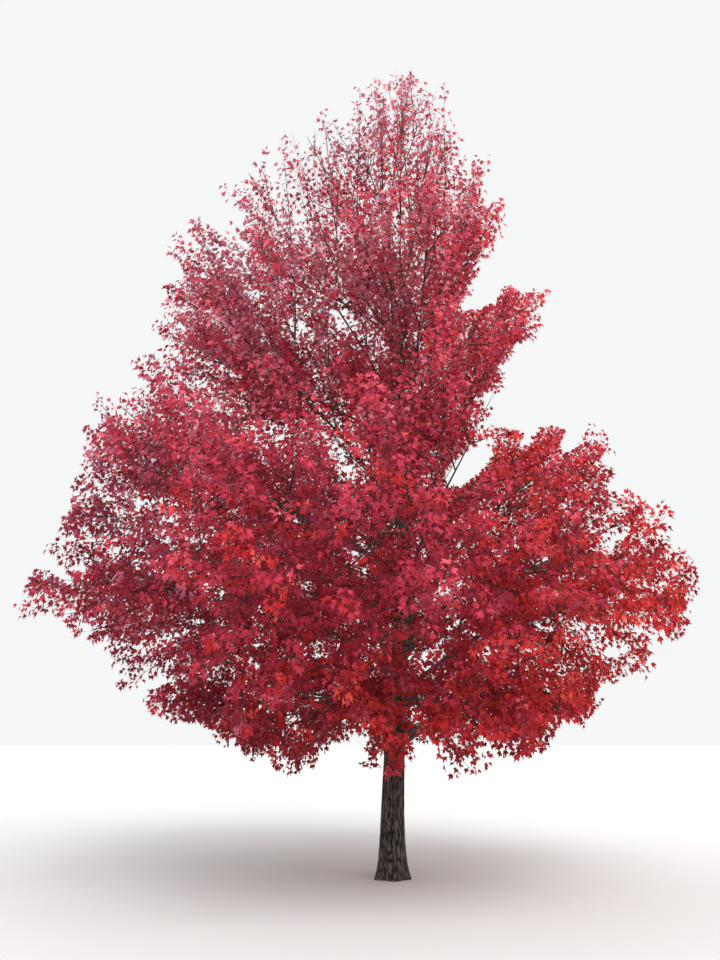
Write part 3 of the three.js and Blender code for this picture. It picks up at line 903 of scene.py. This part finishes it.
# Furrows where two layers of smooth noise cancel out: (1 - |broad + fine / 2| / width)^sharpness.
def grooveAt(places):
    broad, fine = bark["plates"]
    ridges = np.abs(smoothNoise(places * broad, bark["seed"])
                    + 0.5 * smoothNoise(places * fine, bark["seed"] + 1))
    return (1 - np.clip(ridges / bark["width"], 0, 1)) ** bark["sharpness"]


# The corners of a ring by number, and the one beside each.
def ringPairs(sides):
    here = np.arange(sides)
    return here, (here + 1) % sides


# Two triangles for every cell between neighbouring rings.
def ringFaces(rings, sides):
    ring = np.arange(rings - 1)[:, None] * sides
    here, beside = ringPairs(sides)
    lower = np.stack([ring + here, ring + beside, ring + sides + beside], axis=-1)
    higher = np.stack([ring + here, ring + sides + beside, ring + sides + here], axis=-1)
    return np.concatenate([lower.reshape(-1, 3), higher.reshape(-1, 3)])


# Tubes along paths: rings of corners at middle + radius (cos a side + sin a cross), closed by a
# point at the tip and a flat fan at the root. Furrows are cut as a share of the radius.
def tubes(paths, radii, sides, furrow=0.0):
    count, steps = paths.shape[:2]
    ways = unit(np.gradient(paths, axis=1))
    overall = unit(paths[:, -1] - paths[:, 0])
    fixed = unit(np.cross(overall, up) + np.array([10, 20, 0]) * nudge)
    side = unit(fixed[:, None] - np.sum(fixed[:, None] * ways, axis=-1, keepdims=True) * ways)
    cross = np.cross(ways, side)
    angle = np.linspace(0, 2 * math.pi, sides, endpoint=False)[None, None, :, None]
    outward = np.cos(angle) * side[:, :-1, None] + np.sin(angle) * cross[:, :-1, None]
    radius = radii[:, :-1, None]
    groove = np.zeros(outward.shape[:3])
    if furrow:
        step = np.linalg.norm(np.diff(paths, axis=1), axis=2)
        far = (np.cumsum(step, axis=1) - step)[..., None]
        groove = grooveAt(np.stack([np.cos(angle[..., 0]) * radius, np.sin(angle[..., 0]) * radius,
                                    np.broadcast_to(far * bark["length"], groove.shape)], axis=-1)
                          + np.arange(count)[:, None, None, None])
    rings = paths[:, :-1, None] + (radius * (1 - furrow * groove))[..., None] * outward
    places = np.concatenate([rings.reshape(count, -1, 3), paths[:, -1:]], axis=1)
    here, beside = ringPairs(sides)
    last = (steps - 2) * sides
    tip = np.stack([last + here, last + beside, np.full(sides, last + sides)], axis=-1)
    root = np.array([(0, step + 1, step) for step in range(1, sides - 1)])
    faces = np.concatenate([ringFaces(steps - 1, sides), tip, root])
    each = places.shape[1]
    triangles = (faces[None] + (np.arange(count) * each)[:, None, None]).reshape(-1, 3)
    grooves = np.concatenate([groove.reshape(count, -1), np.zeros((count, 1))], axis=1)
    return places.reshape(-1, 3), triangles, grooves.ravel()


# Several meshes as one: places, triangles that count on from mesh to mesh, and grooves.
def joined(parts):
    places, triangles, grooves = zip(*parts)
    starts = np.cumsum([0] + [len(part) for part in places[:-1]])
    triangles = [faces + start for faces, start in zip(triangles, starts)]
    return np.concatenate(places), np.concatenate(triangles), np.concatenate(grooves)


# Bark from dark to pale by stretched noise, lowered by the depth of the groove at that place,
# which paints shade into the furrows.
def barkMaterial(name, low, high):
    material, tree, shader = newMaterial(name, {"Roughness": bark["roughness"],
                                                "Specular IOR Level": bark["specular"]})
    place = addNode(tree, "TexCoord")
    stretch = addNode(tree, "Mapping", {"Scale": bark["grainStretch"]})
    grain = addNode(tree, "TexNoise", bark["grain"])
    groove = addNode(tree, "Attribute")
    groove.attribute_name = "groove"
    # painted shade: the groove's depth lowers the colour in the furrows
    shadeInFurrows = addNode(tree, "Math", {1: -bark["furrowShade"]}, "MULTIPLY_ADD")
    ramp = addNode(tree, "ValToRGB")
    for element, spot, colour in zip(ramp.color_ramp.elements, bark["contrast"], (low, high)):
        element.position = spot
        element.color = (*colour, 1)
    relief = addNode(tree, "Bump", bark["relief"])
    linkAll(tree, (place, "Object", stretch, "Vector"), (stretch, "Vector", grain, "Vector"),
            (groove, "Fac", shadeInFurrows, 0), (grain, "Fac", shadeInFurrows, 2), (shadeInFurrows, "Value", ramp, "Fac"),
            (ramp, "Color", shader, "Base Color"), (grain, "Fac", relief, "Height"),
            (relief, "Normal", shader, "Normal"))
    return material


trunkWood = {
    "around": 200,
    "rings": 380,
    "gather": 1.45,  # how much closer the rings stand towards the foot
    "furrow": 0.0090,  # depth of the furrows at the foot
    "furrowFade": 2.6,  # height over which they fade
    "leastFurrow": 0.0006,
    "rough": 0.0012,  # how far the surface is rough everywhere, and how often in a metre
    "roughness": (180, 180, 600),
    # The trunk's colours are darker than the limbs': partly its own older bark, partly painted
    # shade of the lower trunk under the crown.
    "dark": (0.016, 0.011, 0.009),
    "pale": (0.150, 0.122, 0.104),
}


# The trunk's corners on rings that gather at the foot: middle + (radius - depth x groove + rough)
# (cos a, sin a, 0). Both ends are closed by a fan.
def buildTrunk():
    rings, around = trunkWood["rings"], trunkWood["around"]
    share = np.linspace(0, 1, rings)
    height = (trunk["fork"] * share ** trunkWood["gather"])[:, None]
    angle = np.linspace(0, 2 * math.pi, around, endpoint=False)[None]
    plain = trunkRadius(height, angle)
    surface = np.stack([np.cos(angle) * plain, np.sin(angle) * plain,
                        np.broadcast_to(height, plain.shape) * bark["length"]], axis=-1)
    fading = np.exp(-height / trunkWood["furrowFade"])
    depth = trunkWood["furrow"] * fading + trunkWood["leastFurrow"]
    groove = grooveAt(surface)
    rough = smoothNoise(surface * trunkWood["roughness"], bark["seed"] + 2)
    radius = plain - depth * groove + trunkWood["rough"] * rough
    side = np.stack([np.cos(angle), np.sin(angle), np.zeros_like(angle)], axis=-1)
    places = trunkCentre(height[:, 0])[:, None] + radius[..., None] * side
    top = trunkCentre(trunk["fork"]) + up * trunk["cap"]
    places = np.concatenate([places.reshape(-1, 3), [trunkCentre(0.0)], [top]])
    here, beside = ringPairs(around)
    count = rings * around
    last = count - around
    foot = np.stack([np.full(around, count), beside, here], axis=-1)
    cap = np.stack([np.full(around, count + 1), last + here, last + beside], axis=-1)
    triangles = np.concatenate([ringFaces(rings, around), foot, cap])
    return meshPiece("trunk_bark", places, triangles,
                     [barkMaterial("trunk bark", trunkWood["dark"], trunkWood["pale"])],
                     grooves=np.concatenate([groove.ravel(), [0, 0]]))


trunkPiece = buildTrunk()
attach(trunkPiece, "root")
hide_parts("trunk")
print("trunk built")


limbWood = {
    "sides": 20,
    "rings": 84,
    "furrow": 0.085,  # depth of the furrows, as a share of the radius
    "tipRadius": 0.0045,
    "taper": 0.65,
    "collar": 0.55,
    "collarLength": 0.110,
    "forkWidth": 0.42,  # a fork's radius at its root, as a share of the limb's
    "forkSides": 6,
    "dark": (0.050, 0.036, 0.030),
    "pale": (0.190, 0.145, 0.125),
}


# Limbs and forks as tubes: the radius falls to the tip's as the share along to the power taper,
# and swells at the root by 1 + collar e^(-length / collarLength), but not on the leader.
def buildLimbs():
    parts = []
    for tier in tiers:
        stems = evened(tier["stems"], limbWood["rings"])
        for paths, width, sides, furrow in (
                (stems, 1, limbWood["sides"], limbWood["furrow"]),
                (tier["forks"], limbWood["forkWidth"], limbWood["forkSides"], 0.0)):
            share = np.linspace(0, 1, paths.shape[1])[None]
            length = lengthsOf(paths)[:, None]
            falling = share ** limbWood["taper"]
            radii = between(tier["radius"] * width, limbWood["tipRadius"], falling)
            collar = 1 + limbWood["collar"] * np.exp(-share * length / limbWood["collarLength"])
            radii = radii * (1 if tier["name"] == "leader" else collar)
            parts.append(tubes(paths, np.broadcast_to(radii, paths.shape[:2]), sides, furrow))
    places, triangles, grooves = joined(parts)
    print("limbs_bark", len(triangles), "faces")
    return meshPiece("limbs_bark", places, triangles,
                     [barkMaterial("limb bark", limbWood["dark"], limbWood["pale"])],
                     grooves=grooves)


limbPiece = buildLimbs()
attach(limbPiece, "root")
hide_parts(*[name for tier in tiers for name in tier["boughs"] + tier["masses"]])
print("limbs built")


twigWood = {
    "kinds": {"branches": (0.0090, 4), "twigs": (0.0026, 3)},  # radius at the root, and sides
    "tip": 0.35,  # the radius at the tip, as a share of it
    "colour": (0.060, 0.030, 0.027),
    "grain": {"Scale": 160, "Detail": 3},
    "sheen": {"To Min": 0.55, "To Max": 0.90},
    "relief": {"Strength": 0.5, "Distance": 0.001},
}


# Young wood: one colour, with a fine grain in its relief and in its sheen.
def twigMaterial():
    material, tree, shader = newMaterial("twig bark", {"Base Color": (*twigWood["colour"], 1)})
    place = addNode(tree, "TexCoord")
    grain = addNode(tree, "TexNoise", twigWood["grain"])
    sheen = addNode(tree, "MapRange", twigWood["sheen"])
    relief = addNode(tree, "Bump", twigWood["relief"])
    linkAll(tree, (place, "Object", grain, "Vector"), (grain, "Fac", sheen, "Value"),
            (sheen, "Result", shader, "Roughness"), (grain, "Fac", relief, "Height"),
            (relief, "Normal", shader, "Normal"))
    return material


# Branches and twigs as tubes that taper evenly to the tip's share.
def buildTwigs():
    parts = []
    for tier in tiers:
        for kind, (radius, sides) in twigWood["kinds"].items():
            paths = tier[kind]
            radii = radius * between(1, twigWood["tip"], np.linspace(0, 1, paths.shape[1]))
            parts.append(tubes(paths, np.broadcast_to(radii, paths.shape[:2]), sides))
    places, triangles, _ = joined(parts)
    return meshPiece("twigs_wood", places, triangles, [twigMaterial()])


twigPiece = buildTwigs()
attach(twigPiece, "root")
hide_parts(*[name for tier in tiers for name in tier["masses"]])
print("twigs built,", len(twigPiece.data.polygons), "faces")

# The leaves of a tier are one piece, or several where they would be too many for one.
firstOwner = 0
for tier in tiers:
    *leaves, parent = leavesOn(tier)
    tintsOfLeaves = tintOf(tier)[parent]
    limbOf = tier["twigOwner"][parent] - firstOwner
    groups = np.array_split(np.arange(len(tier["masses"])), tier["pieces"])
    for number, group in enumerate(groups):
        name = "leaves_" + tier["name"] + (f"_{number + 1}" if len(groups) > 1 else "")
        mine = np.isin(limbOf, group)
        piece = leafMesh(name, [part[mine] for part in leaves], tintsOfLeaves[mine])
        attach(piece, "root")
        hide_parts(*[tier["masses"][index] for index in group])
    firstOwner += len(tier["masses"])
print("leaves built")


studio = {
    "floorRadius": 260.0,
    "floorSides": 96,
    "floorColour": (0.80, 0.795, 0.785),
    "floorRoughness": 0.9,
    "surround": (0.92, 0.925, 0.93),
    "sun": 1.9,
    "sunFrom": (24, 44),  # degrees of bearing from the camera's side, and of height
    "sunSoftness": 50,
}


# A pale floor, a disc with its corners at radius (cos a, sin a, 0), an even surround and one soft
# lamp.
def buildStudio():
    sides = studio["floorSides"]
    angle = np.linspace(0, 2 * math.pi, sides, endpoint=False)
    rim = studio["floorRadius"] * np.stack([np.cos(angle), np.sin(angle), 0 * angle], axis=-1)
    places = np.concatenate([rim, [(0, 0, 0)]])
    here, beside = ringPairs(sides)
    triangles = np.stack([np.full(sides, sides), here, beside], axis=-1)
    paper, _, _ = newMaterial("floor", {"Base Color": (*studio["floorColour"], 1),
                                        "Roughness": studio["floorRoughness"]})
    floor = meshPiece("floor", places, triangles, [paper], smooth=False)
    world = bpy.data.worlds.new("surround")
    world.use_nodes = True
    setSockets(world.node_tree.nodes["Background"], {"Color": (*studio["surround"], 1),
                                                     "Strength": 1.0})
    bpy.context.scene.world = world
    lamp = bpy.data.lights.new("soft light", "SUN")
    lamp.energy = studio["sun"]
    lamp.angle = math.radians(studio["sunSoftness"])
    soft = bpy.data.objects.new("soft light", lamp)
    bearing, height = studio["sunFrom"]
    soft.rotation_euler = (math.radians(90 - height), 0, math.radians(bearing))
    bpy.context.scene.collection.objects.link(soft)
    bpy.context.scene.view_settings.view_transform = "Standard"


buildStudio()
print("studio set")

print("cad", [list(np.round(corner, 3)) for corner in cadBox])
